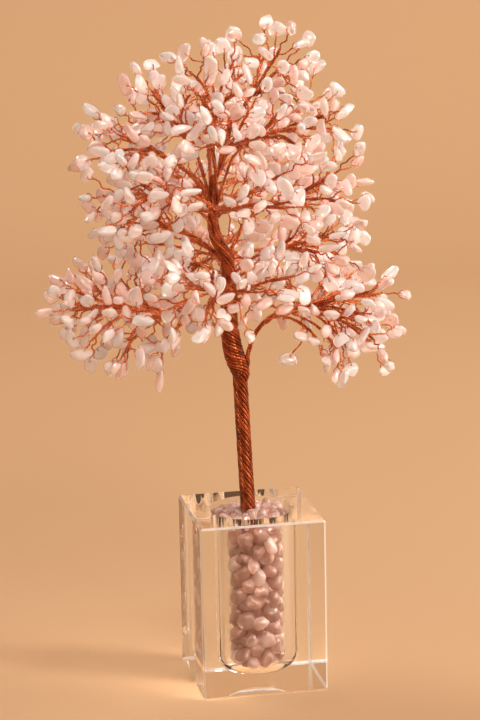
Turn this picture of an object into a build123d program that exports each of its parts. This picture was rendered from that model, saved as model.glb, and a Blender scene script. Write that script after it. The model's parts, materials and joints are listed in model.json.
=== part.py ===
from build123d import *
import math
import os
import random

import numpy as np

# A gemstone tree: drilled tumbled quartz chips on twisted copper wires, its stem planted
# in loose chips in the bore of a square block of clear crystal glass.
# Millimetres, +Z up, origin at the middle of the block's underside, block faces along X and Y.

# Glass block
block_width = 50.0
block_height = 70.0
block_chamfer = 0.8
bore_diameter = 33.0
bore_floor = 5.0
bore_floor_radius = 8.0
rim_chamfer = 0.5
cut_overrun = 1.0

# Loose chips in the bore, each inside a ball of about this diameter
fill_ball_size = 5.9
fill_size_shares = (1.0, 0.88, 1.1, 0.94, 1.04)
fill_length_share = 0.94
fill_width_share = 0.9
fill_thickness_share = 0.8
fill_rim_depth = 0.6
fill_gap = 0.1
fill_band_names = ("fill_bottom", "fill_lower", "fill_upper", "fill_top")

# How a loose chip finds its place: throws over the whole bore, then rolls that halve in width
fill_throws = 22
fill_rolls = 44
fill_halvings = 6
fill_misses = 12

# Stem: a straight core of wires in a sleeve of wires wound round it
stem_diameter = 5.9
stem_core_diameter = 3.3
stem_core_gap = 0.1
stem_floor_gap = 0.3
stem_rim_offset = 1.1
stem_lean = 2.33
stem_top_share = 0.27

# Crown: the wires above the stem, in shares of its height and of its reach from the stem
crown_height = 193.0
crown_reach = 77.0
crown_joint_gap = 0.1
trunk_point_shares = (
    (-0.055, 0.000, 0.308),
    (-0.086, 0.000, 0.362),
    (-0.093, 0.000, 0.420),
    (-0.088, 0.010, 0.481),
    (-0.101, 0.010, 0.527),
    (-0.148, 0.000, 0.566),
    (-0.165, -0.010, 0.625),
    (-0.157, 0.000, 0.664),
    (-0.146, 0.000, 0.695),
)
trunk_radius_shares = (1.36, 1.28, 1.12, 1.0, 0.92, 0.85, 0.68, 0.58, 0.5)

# Wires, as the round bar that each twisted bundle fills
limb_radius = 0.85
sprig_radius = 0.42
twig_radius = 0.3
root_gap = 0.25
root_slack = 0.03
root_tries = 8
wire_gap = 0.12
clear_gap = 0.25
bend_share = 0.45
curve_steps = 24
limb_bar_count = 10
sprig_bar_count = 4

# Sprigs leave a limb past the first share of its length, easily at angles between the two
# leans, in degrees. Outside them the way there counts as longer.
sprig_first_share = 0.24
sprig_places = 24
sprig_tries = 10
sprig_leans = (12, 35)
sprig_lean_costs = (30, 60)
sprig_bulge_share = 0.12
golden_angle = math.pi * (3 - math.sqrt(5))

# Chips on the twigs
chip_length = 7.0
chip_width = 5.3
chip_thickness = 3.5
chip_bore_radius = 0.4
twig_reaches = (8.5, 10.0, 11.5, 13.5)
twigs_per_sprig = 6
twig_tries = 22

# Twigs down the sprig from its tip, each turned on from the last, in degrees where angles
twig_top_share = 0.98
twig_span_share = 0.62
twig_step_share = 0.3
twig_turn = 60
twig_turn_tries = 6
twig_tip_lean = 25
twig_side_leans = (30, 75)

# Corners of a chip's outline, in shares of its half length and half width
outline_radius_shares = (
    (1.00, 0.90, 0.98, 0.88, 0.96, 0.92, 1.00, 0.86),
    (1.00, 0.84, 0.92, 1.00, 0.90, 0.80, 0.95, 0.98),
    (0.96, 1.00, 0.82, 0.90, 1.00, 0.95, 0.84, 0.92),
)
chip_chamfer_share = 0.28

# Each form: turn from the bore in degrees, then shares of length, width and thickness
chip_form_shares = (
    (0, 1.00, 1.00, 1.00),
    (35, 1.10, 0.95, 0.92),
    (80, 1.12, 0.90, 1.00),
    (12, 1.32, 0.86, 0.95),
    (60, 1.16, 1.04, 0.84),
    (90, 0.95, 0.96, 1.10),
    (20, 0.82, 0.92, 0.98),
    (50, 1.40, 0.88, 1.00),
    (0, 1.12, 1.06, 1.04),
    (70, 0.88, 1.02, 0.86),
    (25, 1.00, 0.84, 0.90),
    (85, 1.22, 0.98, 0.94),
)

# Boughs. root: place along the trunk's points. path and lobes: shares of crown_reach in X
# and Y and of crown_height in Z. lobes: centre, radii, sprigs. thick: share of limb_radius.
# lift and droop: degrees that it bends up or in, and down or out, before chips would meet.
bough_shares = {
    "lower_right": dict(
        root=0.25, thick=1.25, lift=8, droop=15,
        path=(
            (0.030, -0.020, 0.368), (0.105, -0.040, 0.402),
            (0.230, -0.040, 0.418), (0.390, -0.020, 0.420),
        ),
        lobes=(
            ((0.470, -0.300, 0.372), (0.17, 0.17, 0.048), 7),
            ((0.565, -0.020, 0.418), (0.155, 0.20, 0.045), 8),
            ((0.430, 0.290, 0.426), (0.18, 0.17, 0.040), 6),
        ),
    ),
    "lower_left": dict(
        root=1.45, thick=1.2, lift=8, droop=15,
        path=(
            (-0.230, -0.040, 0.404), (-0.380, -0.060, 0.420),
            (-0.550, -0.050, 0.434), (-0.710, -0.030, 0.442),
        ),
        lobes=(
            ((-0.800, -0.020, 0.448), (0.125, 0.18, 0.038), 7),
            ((-0.640, -0.290, 0.402), (0.19, 0.16, 0.042), 6),
            ((-0.580, 0.260, 0.456), (0.20, 0.17, 0.040), 7),
        ),
    ),
    "left_low": dict(
        root=4.3, thick=0.9, lift=5, droop=7,
        path=((-0.225, 0.060, 0.562), (-0.325, 0.120, 0.580), (-0.440, 0.150, 0.592)),
        lobes=(((-0.505, 0.190, 0.586), (0.16, 0.20, 0.034), 7),),
    ),
    "left_middle": dict(
        root=5.7, thick=0.9, lift=5, droop=7,
        path=((-0.265, -0.110, 0.640), (-0.375, -0.180, 0.664), (-0.490, -0.215, 0.678)),
        lobes=(((-0.560, -0.230, 0.680), (0.17, 0.18, 0.038), 7),),
    ),
    "left_high": dict(
        root=6.6, thick=0.9, lift=5, droop=7,
        path=((-0.255, 0.010, 0.692), (-0.365, 0.000, 0.730), (-0.475, 0.010, 0.756)),
        lobes=(((-0.575, 0.050, 0.762), (0.155, 0.21, 0.042), 7),),
    ),
    "upper_left": dict(
        root=7.2, thick=0.85, lift=4, droop=6,
        path=((-0.225, 0.040, 0.730), (-0.275, 0.070, 0.768), (-0.325, 0.080, 0.800)),
        lobes=(((-0.355, 0.080, 0.828), (0.135, 0.20, 0.045), 7),),
    ),
    "top_left": dict(
        root=8.0, thick=1.0, lift=4, droop=6,
        path=((-0.160, -0.010, 0.745), (-0.162, -0.020, 0.795), (-0.145, -0.020, 0.840)),
        lobes=(((-0.130, -0.030, 0.880), (0.155, 0.22, 0.050), 8),),
    ),
    "top_peak": dict(
        root=7.5, thick=0.95, lift=4, droop=6,
        path=((-0.095, 0.060, 0.760), (-0.010, 0.070, 0.812), (0.070, 0.050, 0.856)),
        lobes=(((0.135, 0.010, 0.902), (0.12, 0.20, 0.050), 8),),
    ),
    "top_right": dict(
        root=7.0, thick=1.1, lift=5, droop=7,
        path=(
            (-0.070, -0.050, 0.733), (0.000, -0.080, 0.762),
            (0.105, -0.100, 0.782), (0.205, -0.110, 0.792),
        ),
        lobes=(((0.270, -0.100, 0.796), (0.175, 0.22, 0.055), 9),),
    ),
    "right_high": dict(
        root=4.2, thick=1.0, lift=5, droop=7,
        path=(
            (-0.040, 0.030, 0.562), (0.000, 0.060, 0.588), (0.060, 0.080, 0.606),
            (0.160, 0.110, 0.620), (0.270, 0.120, 0.630),
        ),
        lobes=(((0.385, 0.140, 0.652), (0.175, 0.21, 0.046), 8),),
    ),
    "right_middle": dict(
        root=3.35, thick=1.0, lift=5, droop=7,
        path=((0.010, -0.090, 0.530), (0.130, -0.150, 0.552), (0.275, -0.180, 0.562)),
        lobes=(((0.375, -0.180, 0.562), (0.19, 0.18, 0.036), 8),),
    ),
    "front_low": dict(
        root=2.3, thick=0.9, lift=5, droop=8,
        path=((-0.130, -0.150, 0.450), (-0.200, -0.300, 0.480), (-0.250, -0.420, 0.495)),
        lobes=(
            ((-0.320, -0.560, 0.500), (0.20, 0.18, 0.050), 7),
            ((0.030, -0.480, 0.505), (0.17, 0.17, 0.040), 6),
        ),
    ),
    "front_high": dict(
        root=5.4, thick=0.85, lift=5, droop=7,
        path=((-0.175, -0.130, 0.612), (-0.190, -0.260, 0.640), (-0.200, -0.380, 0.655)),
        lobes=(
            ((-0.330, -0.520, 0.672), (0.15, 0.17, 0.045), 5),
            ((0.020, -0.500, 0.690), (0.16, 0.17, 0.048), 5),
        ),
    ),
    "back_low": dict(
        root=2.6, thick=0.95, lift=4, droop=8,
        path=((-0.085, 0.160, 0.470), (-0.080, 0.320, 0.495), (-0.080, 0.460, 0.505)),
        lobes=(
            ((-0.250, 0.600, 0.495), (0.19, 0.19, 0.045), 7),
            ((0.120, 0.620, 0.500), (0.19, 0.18, 0.045), 7),
        ),
    ),
    "back_middle": dict(
        root=4.8, thick=0.9, lift=5, droop=7,
        path=((-0.130, 0.140, 0.590), (-0.120, 0.290, 0.622), (-0.110, 0.420, 0.640)),
        lobes=(
            ((-0.300, 0.520, 0.640), (0.18, 0.18, 0.045), 6),
            ((0.100, 0.560, 0.650), (0.18, 0.18, 0.045), 6),
        ),
    ),
    "back_high": dict(
        root=6.2, thick=0.85, lift=4, droop=6,
        path=((-0.150, 0.130, 0.680), (-0.130, 0.250, 0.720), (-0.110, 0.340, 0.755)),
        lobes=(((-0.080, 0.440, 0.785), (0.19, 0.17, 0.050), 7),),
    ),
    "front_top": dict(
        root=6.9, thick=0.85, lift=4, droop=6,
        path=((-0.160, -0.110, 0.700), (-0.140, -0.210, 0.745), (-0.120, -0.290, 0.775)),
        lobes=(((-0.080, -0.390, 0.805), (0.18, 0.16, 0.048), 7),),
    ),
}

# Places where the foliage parts and shows the trunk: along the trunk's points, share of
# stem_diameter that stays clear, seen from this bearing and height in degrees
parting_shares = ((4.9, 0.95), (7.3, 0.75), (3.9, 0.6))
sight_bearing = 10.6
sight_height = 13.5
sight_share = 0.9

bore_radius = bore_diameter / 2
stem_radius = stem_diameter / 2
stem_slope = math.tan(math.radians(stem_lean))
stem_axis = np.array([-math.sin(math.radians(stem_lean)), 0.0, math.cos(math.radians(stem_lean))])
stem_foot = bore_floor + stem_floor_gap + stem_radius * stem_slope
stem_top = block_height + stem_top_share * crown_height


def unit(vector):
    return vector / np.linalg.norm(vector)


def across(direction):
    """Two directions square to this one and to each other."""
    side = np.cross(direction, (0.0, 0.0, 1.0))
    if np.linalg.norm(side) < 0.1:
        side = np.cross(direction, (0.0, 1.0, 0.0))
    side = unit(side)
    return side, np.cross(direction, side)


def crown_place(shares):
    """A point of the crown from its shares."""
    x, y, z = shares
    return np.array([x * crown_reach, y * crown_reach, block_height + z * crown_height])


def stem_place(height):
    """The stem's middle at this height."""
    return np.array([-stem_rim_offset - (height - block_height) * stem_slope, 0.0, height])


trunk_points = [crown_place(shares) for shares in trunk_point_shares]
trunk_radii = [share * stem_radius for share in trunk_radius_shares]


def trunk_at(place):
    """Middle, direction and radius of the trunk at a place along its points."""
    low = min(int(place), len(trunk_points) - 2)
    part = place - low
    middle = trunk_points[low] * (1 - part) + trunk_points[low + 1] * part
    direction = unit(trunk_points[low + 1] - trunk_points[low])
    return middle, direction, trunk_radii[low] * (1 - part) + trunk_radii[low + 1] * part


def turned(points, pivot, axis, degrees):
    """Points turned about an axis through the pivot."""
    angle = math.radians(degrees)
    arm = points - pivot
    along = np.outer(arm @ axis, axis)
    return pivot + along + (arm - along) * math.cos(angle) + np.cross(axis, arm) * math.sin(angle)


def segment_gaps(start, end, starts, ends):
    """Distance from one segment to each of many."""
    tiny = 1e-9
    first = end - start
    others = ends - starts
    offset = start - starts
    a = first @ first + tiny
    e = np.einsum("ij,ij->i", others, others) + tiny
    f = np.einsum("ij,ij->i", others, offset)
    c = offset @ first
    b = others @ first
    s = np.clip((b * f - c * e) / np.maximum(a * e - b * b, tiny), 0, 1)
    t = (b * s + f) / e
    s = np.where(t < 0, np.clip(-c / a, 0, 1), np.where(t > 1, np.clip((b - c) / a, 0, 1), s))
    t = np.clip(t, 0, 1)
    return np.linalg.norm(offset + s[:, None] * first - t[:, None] * others, axis=1)


class Thicket:
    """Everything placed so far, as round-ended bars, at rest and with its bough bent."""

    def __init__(self, swings):
        self.swings = swings
        self.poses = max(len(swing["degrees"]) for swing in swings.values()) + 1
        self.starts = [np.zeros((0, 3)) for _ in range(self.poses)]
        self.ends = [np.zeros((0, 3)) for _ in range(self.poses)]
        self.radii = np.zeros(0)
        self.owners = np.zeros(0, int)
        self.names = ["trunk"] + list(swings)

    def posed(self, owner, start, end):
        ends = np.array([start, end])
        if owner == "trunk":
            return [ends] * self.poses
        swing = self.swings[owner]
        return [ends] + [turned(ends, swing["pivot"], swing["axis"], d) for d in swing["degrees"]]

    def add(self, owner, start, end, radius):
        for pose, ends in enumerate(self.posed(owner, start, end)):
            self.starts[pose] = np.vstack([self.starts[pose], ends[0]])
            self.ends[pose] = np.vstack([self.ends[pose], ends[1]])
        self.radii = np.append(self.radii, radius)
        self.owners = np.append(self.owners, self.names.index(owner))

    def meets(self, ends, pose, radius, gap, chosen):
        starts, stops = self.starts[pose][chosen], self.ends[pose][chosen]
        radii = self.radii[chosen]
        middle = (ends[0] + ends[1]) / 2
        reach = np.linalg.norm(ends[1] - ends[0]) / 2 + radius + gap
        away = np.linalg.norm((starts + stops) / 2 - middle, axis=1)
        near = away < reach + radii + np.linalg.norm(stops - starts, axis=1) / 2
        if not near.any():
            return False
        gaps = segment_gaps(ends[0], ends[1], starts[near], stops[near])
        return bool((gaps < radii[near] + radius + gap).any())

    def is_clear(self, owner, start, end, radius, skip=()):
        """Whether a bar is clear of the rest, and stays so as its bough or another bends."""
        others = self.owners != self.names.index(owner)
        chosen = np.ones(len(self.radii), bool)
        chosen[list(skip)] = False
        posed = self.posed(owner, start, end)
        if self.meets(posed[0], 0, radius, clear_gap, chosen):
            return False
        for pose in range(1, self.poses):
            if self.meets(posed[pose], 0, radius, clear_gap, others):
                return False
            if self.meets(posed[0], pose, radius, clear_gap, others):
                return False
            if self.meets(posed[pose], pose, radius, clear_gap, others):
                return False
        return True


# Limbs: the route of each bough's main wire, from its rounded root by the trunk
def bend_radii(points):
    """As large a radius at each corner of a route as its two runs allow."""
    radii = []
    for before, corner, after in zip(points, points[1:], points[2:]):
        inward, outward = corner - before, after - corner
        turn = math.acos(float(np.clip(unit(inward) @ unit(outward), -1, 1)))
        run = min(np.linalg.norm(inward), np.linalg.norm(outward))
        radii.append(float(bend_share * run / math.tan(turn / 2)))
    return radii


def limb_points(shares, gap):
    """A limb's corner points. Its first one lies beside the trunk or on the trunk's tip."""
    radius = limb_radius * shares["thick"]
    points = [crown_place(place) for place in shares["path"]]
    middle, direction, trunk_radius = trunk_at(shares["root"])
    if shares["root"] >= len(trunk_points) - 1:
        return [middle + direction * (radius + gap)] + points
    towards = points[0] - middle
    outward = unit(towards - direction * (towards @ direction))
    return [middle + outward * (trunk_radius + radius + gap)] + points


def sampled(curve):
    """Points and directions at even steps along a curve."""
    steps = [step / curve_steps for step in range(curve_steps + 1)]
    places = np.array([tuple(curve @ step) for step in steps])
    directions = np.array([tuple(curve % step) for step in steps])
    return places, directions


def place_on(line, share):
    """The point and the direction of a sampled curve at a share of its length."""
    places, directions = line
    low = min(int(share * curve_steps), curve_steps - 1)
    part = share * curve_steps - low
    place = places[low] * (1 - part) + places[low + 1] * part
    return place, unit(directions[low] * (1 - part) + directions[low + 1] * part)


def make_limb(points, radius):
    """The limb's bar, and the sampled curve along its middle."""
    with BuildPart() as limb:
        with BuildLine() as route:
            FilletPolyline(*[tuple(point) for point in points], radius=bend_radii(points))
        middle = route.wire()
        with BuildSketch(Plane(origin=middle @ 0, z_dir=middle % 0)):
            Circle(radius)
        sweep()
        with Locations(middle @ 0):
            Sphere(radius)
    return limb.part, sampled(middle)


def seat_limb(shares, trunk):
    """A limb's root, bar and middle, with the root gap between the bar and the real trunk."""
    gap = root_gap
    for _ in range(root_tries):
        points = limb_points(shares, gap)
        limb, middle = make_limb(points, limb_radius * shares["thick"])
        short = root_gap - limb.distance_to(trunk)
        if abs(short) < root_slack:
            break
        gap += short
    return points[0], limb, middle


def lobe_targets(lobe, turn):
    """Sprig ends spread evenly through a lobe of the foliage."""
    centre, radii, count = lobe
    centre = crown_place(centre)
    radii = np.array([radii[0] * crown_reach, radii[1] * crown_reach, radii[2] * crown_height])
    targets = []
    for index in range(count):
        height = 1 - (2 * index + 1) / count
        ring = math.sqrt(1 - height * height)
        angle = golden_angle * index + turn
        spot = np.array([ring * math.cos(angle), height, ring * math.sin(angle)])
        targets.append(centre + radii * spot)
    return targets


def sprig_roots(middle, target):
    """Places along a limb for a sprig to this target, the best one first."""
    low, high = sprig_leans
    low_cost, high_cost = sprig_lean_costs
    choices = []
    for share in np.linspace(sprig_first_share, 1, sprig_places):
        spot, along = place_on(middle, share)
        towards = target - spot
        lean = math.degrees(math.acos(float(np.clip(unit(towards) @ along, -1, 1))))
        longer = 1 + max(0, lean - high) / high_cost + max(0, low - lean) / low_cost
        choices.append((float(np.linalg.norm(towards) * longer), float(share)))
    return [share for _, share in sorted(choices)]


def bars_along(line, count):
    """The bars that stand for a sampled curve."""
    points = [place_on(line, step / count)[0] for step in range(count + 1)]
    return list(zip(points, points[1:]))


def plan_sprig(middle, share, radius, target):
    """Start, middle and end of the arc that a sprig follows from its limb to a target."""
    spot, along = place_on(middle, share)
    towards = target - spot
    outward = unit(towards - along * (towards @ along))
    start = spot + outward * (radius + sprig_radius + wire_gap)
    chord = target - start
    sideways = along - unit(chord) * (along @ unit(chord))
    bulge = sprig_bulge_share * np.linalg.norm(chord) * sideways
    return start, (start + target) / 2 + bulge, target


def make_sprig(start, halfway, end):
    with BuildPart() as sprig:
        with BuildLine() as route:
            ThreePointArc(tuple(start), tuple(halfway), tuple(end))
        arc = route.wire()
        with BuildSketch(Plane(origin=arc @ 0, z_dir=arc % 0)):
            Circle(sprig_radius)
        sweep()
    return sprig.part, sampled(arc)


# Forms that repeat: chips and twigs
def make_chip(outline, turn, length, width, thickness, bored=True):
    """A tumbled chip about the origin, its bore along X, worn off towards both flat faces."""
    lean = math.radians(turn)
    corners = []
    for index, share in enumerate(outline):
        angle = 2 * math.pi * index / len(outline)
        x = share * length / 2 * math.cos(angle)
        y = share * width / 2 * math.sin(angle)
        corners.append((
            x * math.cos(lean) - y * math.sin(lean),
            x * math.sin(lean) + y * math.cos(lean),
        ))
    with BuildPart() as chip:
        with BuildSketch(Plane.XY):
            Polygon(*corners, align=None)
        extrude(amount=thickness / 2, both=True)
        chamfer(chip.faces().filter_by(Plane.XY).edges(), length=chip_chamfer_share * thickness)
        if bored:
            Cylinder(chip_bore_radius, length * 2, rotation=(0, 90, 0), mode=Mode.SUBTRACT)
    return chip.part


def make_twig(reach):
    with BuildPart() as twig:
        with BuildSketch(Plane.XY):
            Circle(twig_radius)
        extrude(amount=reach)
    return twig.part


def put(form, origin, x_dir=None, z_dir=(0, 0, 1)):
    """A copy of a form, its own origin and axes moved to these."""
    x_dir = None if x_dir is None else tuple(x_dir)
    return form.moved(Plane(origin=tuple(origin), x_dir=x_dir, z_dir=tuple(z_dir)).location)


def write(name, shape):
    shape.label = name
    export_step(shape, f"parts/{name}.step", write_pcurves=False)


chip_forms = [
    dict(
        turn=turn,
        length=chip_length * long,
        width=chip_width * wide,
        rim=chip_thickness * thick * (0.5 - chip_chamfer_share),
        shape=make_chip(
            outline_radius_shares[index % len(outline_radius_shares)],
            turn, chip_length * long, chip_width * wide, chip_thickness * thick,
        ),
    )
    for index, (turn, long, wide, thick) in enumerate(chip_form_shares)
]
twig_forms = [make_twig(reach) for reach in twig_reaches]


def chip_bar(form, centre, x_dir, z_dir):
    """The round-ended bar that holds a chip."""
    lean = math.radians(form["turn"])
    along = x_dir * math.cos(lean) + np.cross(z_dir, x_dir) * math.sin(lean)
    half = max(form["length"] - form["width"], 0) / 2
    radius = math.hypot(form["width"] / 2, form["rim"])
    return centre - along * half, centre + along * half, radius


# The block, its bore and the loose chips
def make_block():
    top = block_height + cut_overrun
    with BuildPart() as block:
        with BuildSketch(Plane.XY):
            Rectangle(block_width, block_width)
        extrude(amount=block_height)
        chamfer(block.edges(), length=block_chamfer)
        with BuildSketch(Plane.XZ):
            with BuildLine():
                Line((0, top), (0, bore_floor))
                Line((0, bore_floor), (bore_radius - bore_floor_radius, bore_floor))
                RadiusArc(
                    (bore_radius - bore_floor_radius, bore_floor),
                    (bore_radius, bore_floor + bore_floor_radius),
                    -bore_floor_radius,
                )
                Line((bore_radius, bore_floor + bore_floor_radius), (bore_radius, top))
                Line((bore_radius, top), (0, top))
            make_face()
        revolve(axis=Axis.Z, mode=Mode.SUBTRACT)
        rim = block.edges().filter_by(GeomType.CIRCLE).sort_by(Axis.Z)[-1:]
        chamfer(rim, length=rim_chamfer)
    return block.part


def lowest_rest(x, y, radius):
    """Lowest height at which a ball this far off the bore's axis clears the bore's floor."""
    off_axis = math.hypot(x, y) - (bore_radius - bore_floor_radius)
    if off_axis <= 0:
        return bore_floor + radius
    inner = bore_floor_radius - radius
    drop = inner * inner - off_axis * off_axis
    return bore_floor + bore_floor_radius - math.sqrt(max(drop, 0.0))


def rest_height(x, y, radius, balls):
    """Lowest clear height in the bore for a ball at this place."""
    room = radius + fill_gap
    blocked = [(-math.inf, lowest_rest(x, y, room))]
    for ball in balls:
        reach = radius + ball[3] + fill_gap
        square = reach * reach - (x - ball[0]) ** 2 - (y - ball[1]) ** 2
        if square > 0:
            blocked.append((ball[2] - math.sqrt(square), ball[2] + math.sqrt(square)))
    reach = (stem_radius + room) / math.cos(math.radians(stem_lean))
    if abs(y) < reach:
        half = math.sqrt(reach * reach - y * y) / stem_slope
        middle = block_height - (x + stem_rim_offset) / stem_slope
        blocked.append((middle - half, middle + half))
    height = -math.inf
    for low, high in sorted(blocked):
        if low <= height + fill_gap:
            height = max(height, high)
    return height


def settle_fill():
    """Balls dropped one by one into the bore round the stem, each rolled into a low place."""
    balls = []
    draw = random.Random("loose chips")
    misses = 0
    while misses < fill_misses:
        radius = fill_size_shares[(len(balls) + misses) % len(fill_size_shares)] * fill_ball_size / 2
        reach = bore_radius - radius - fill_gap
        best = (0, 0, math.inf)
        for attempt in range(fill_throws + fill_rolls):
            rolls = max(attempt - fill_throws, 0)
            roll = reach / 2 ** (rolls * fill_halvings / fill_rolls)
            start = best if rolls else (0, 0)
            x = start[0] + roll * draw.uniform(-1, 1)
            y = start[1] + roll * draw.uniform(-1, 1)
            if math.hypot(x, y) > reach:
                continue
            height = rest_height(x, y, radius, balls)
            if height < best[2]:
                best = (x, y, height)
        if best[2] + radius > block_height - fill_rim_depth:
            misses += 1
        else:
            balls.append((*best, radius))
    return balls


def make_fill(balls):
    """The loose chips in bands from the bore's floor up, each chip turned its own way."""
    forms = {}
    bands = [[] for _ in fill_band_names]
    depth = block_height - bore_floor
    for index, (x, y, z, radius) in enumerate(balls):
        outline = index % len(outline_radius_shares)
        if (outline, radius) not in forms:
            size = 2 * radius
            forms[outline, radius] = make_chip(
                outline_radius_shares[outline], 0, size * fill_length_share,
                size * fill_width_share, size * fill_thickness_share, bored=False,
            )
        draw = random.Random(f"loose chip {index}")
        x_dir = unit(np.array([draw.gauss(0, 1) for _ in range(3)]))
        side, other = across(x_dir)
        roll = draw.uniform(0, math.pi)
        z_dir = side * math.cos(roll) + other * math.sin(roll)
        band = min(int((z - bore_floor) / depth * len(bands)), len(bands) - 1)
        bands[band].append(put(forms[outline, radius], (x, y, z), x_dir, z_dir))
    return bands


# Stem and trunk
def make_stem():
    """The stem's core and the sleeve round it, both straight from the bore's floor up."""
    foot = stem_place(stem_foot)
    length = (stem_top - stem_foot) / float(stem_axis[2])
    base = Plane(origin=tuple(foot), z_dir=tuple(stem_axis))
    with BuildPart() as core:
        with BuildSketch(base):
            Circle(stem_core_diameter / 2)
        extrude(amount=length)
    with BuildPart() as sleeve:
        with BuildSketch(base):
            Circle(stem_radius)
            Circle(stem_core_diameter / 2 + stem_core_gap, mode=Mode.SUBTRACT)
        extrude(amount=length)
    return core.part, sleeve.part


def make_trunk():
    """The thick bundle above the stem, narrowing as its wires leave it."""
    low = stem_place(stem_top) + stem_axis * crown_joint_gap
    points = [low] + trunk_points
    with BuildPart() as trunk:
        for index, point in enumerate(points):
            if index == 0:
                direction = stem_axis
            elif index == len(points) - 1:
                direction = unit(point - points[index - 1])
            else:
                direction = unit(points[index + 1] - points[index - 1])
            radius = stem_radius if index == 0 else trunk_radii[index - 1]
            with BuildSketch(Plane(origin=tuple(point), x_dir=(0, 1, 0), z_dir=tuple(direction))):
                Circle(radius)
        loft()
    return trunk.part


# The crown: limbs first, then sprigs, twigs and chips where there is room for them
def plan_boughs(trunk):
    boughs = {}
    for name, shares in bough_shares.items():
        root, limb, middle = seat_limb(shares, trunk)
        centre = sum(crown_place(lobe[0]) for lobe in shares["lobes"]) / len(shares["lobes"])
        outward = (centre - root) * np.array([1.0, 1.0, 0.0])
        axis = unit(np.cross((0.0, 0.0, 1.0), outward))
        droop = shares["droop"]
        boughs[name] = dict(
            limb=limb, middle=middle, radius=limb_radius * shares["thick"], pivot=root, axis=axis,
            degrees=(-shares["lift"], droop / 3, droop * 2 / 3, droop),
            sprigs=[], twigs=[], chips=[],
        )
    return boughs


def add_standing(thicket, boughs):
    """The stem, the trunk, the limbs and the partings in the foliage."""
    low = stem_place(block_height)
    thicket.add("trunk", low, trunk_points[0], stem_radius)
    for index in range(len(trunk_points) - 1):
        radius = max(trunk_radii[index:index + 2])
        thicket.add("trunk", trunk_points[index], trunk_points[index + 1], radius)
    bearing, rise = math.radians(sight_bearing), math.radians(sight_height)
    sight = np.array([
        -math.sin(bearing) * math.cos(rise), -math.cos(bearing) * math.cos(rise), math.sin(rise),
    ])
    for place, share in parting_shares:
        middle, _, radius = trunk_at(place)
        clear = share * stem_diameter
        start = middle + sight * (radius + clear)
        thicket.add("trunk", start, middle + sight * sight_share * crown_reach, clear)
    for name, bough in boughs.items():
        for start, end in bars_along(bough["middle"], limb_bar_count):
            thicket.add(name, start, end, bough["radius"])


def add_sprig(thicket, name, bough, target):
    """One sprig to the target, if it finds room on its limb, and its place in the thicket."""
    for share in sprig_roots(bough["middle"], target)[:sprig_tries]:
        start, halfway, end = plan_sprig(bough["middle"], share, bough["radius"], target)
        part, arc = make_sprig(start, halfway, end)
        bars = bars_along(arc, sprig_bar_count)
        room = all(
            thicket.is_clear(name, low, high, sprig_radius, skip=() if index else bough["limb_bars"])
            for index, (low, high) in enumerate(bars)
        )
        if room:
            first = len(thicket.radii)
            for low, high in bars:
                thicket.add(name, low, high, sprig_radius)
            bough["sprigs"].append(part)
            return arc, list(range(first, first + len(bars)))
    return None


def add_twig(thicket, name, bough, arc, own, key, order):
    """One twig with its chip on a sprig, in the first of some seeded places that is clear."""
    for attempt in range(twig_tries):
        draw = random.Random(f"{key} {order} {attempt}")
        down = order - twig_step_share * draw.random()
        share = twig_top_share - twig_span_share * down / twigs_per_sprig if order else 1
        spot, along = place_on(arc, share)
        side, other = across(along)
        spread = twig_turn * (1 + attempt / twig_turn_tries)
        angle = golden_angle * order + math.radians(draw.uniform(-spread, spread))
        outward = side * math.cos(angle) + other * math.sin(angle)
        leans = twig_side_leans if order else (0, twig_tip_lean)
        lean = math.radians(draw.uniform(*leans))
        direction = along * math.cos(lean) + outward * math.sin(lean)
        kind = draw.randrange(len(twig_reaches))
        reach = twig_reaches[kind]
        form = chip_forms[draw.randrange(len(chip_forms))]
        if order == 0:
            start = spot + along * (twig_radius + wire_gap)
        else:
            start = spot + outward * (sprig_radius + twig_radius + wire_gap)
        tip = start + direction * reach
        side, other = across(direction)
        roll = draw.uniform(0, math.pi)
        flat = side * math.cos(roll) + other * math.sin(roll)
        chip_start, chip_end, chip_radius = chip_bar(form, tip, direction, flat)
        if not thicket.is_clear(name, chip_start, chip_end, chip_radius):
            continue
        if not thicket.is_clear(name, start, tip, twig_radius, skip=own):
            continue
        thicket.add(name, start, tip, twig_radius)
        thicket.add(name, chip_start, chip_end, chip_radius)
        bough["twigs"].append(put(twig_forms[kind], start, z_dir=direction))
        bough["chips"].append(put(form["shape"], tip, x_dir=direction, z_dir=flat))
        return


def grow(boughs):
    """Fill every lobe of every bough, one sprig of each bough at a time."""
    thicket = Thicket(boughs)
    add_standing(thicket, boughs)
    for name, bough in boughs.items():
        owner = thicket.names.index(name)
        bough["limb_bars"] = np.flatnonzero(thicket.owners == owner).tolist()
    grown = []
    for name, shares in bough_shares.items():
        for number, lobe in enumerate(shares["lobes"]):
            for index, target in enumerate(lobe_targets(lobe, number + len(name))):
                sprig = add_sprig(thicket, name, boughs[name], target)
                if sprig:
                    grown.append((name, sprig, f"{name} {number} {index}"))
    for order in range(twigs_per_sprig):
        for name, (arc, own), key in grown:
            add_twig(thicket, name, boughs[name], arc, own, key, order)


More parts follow.
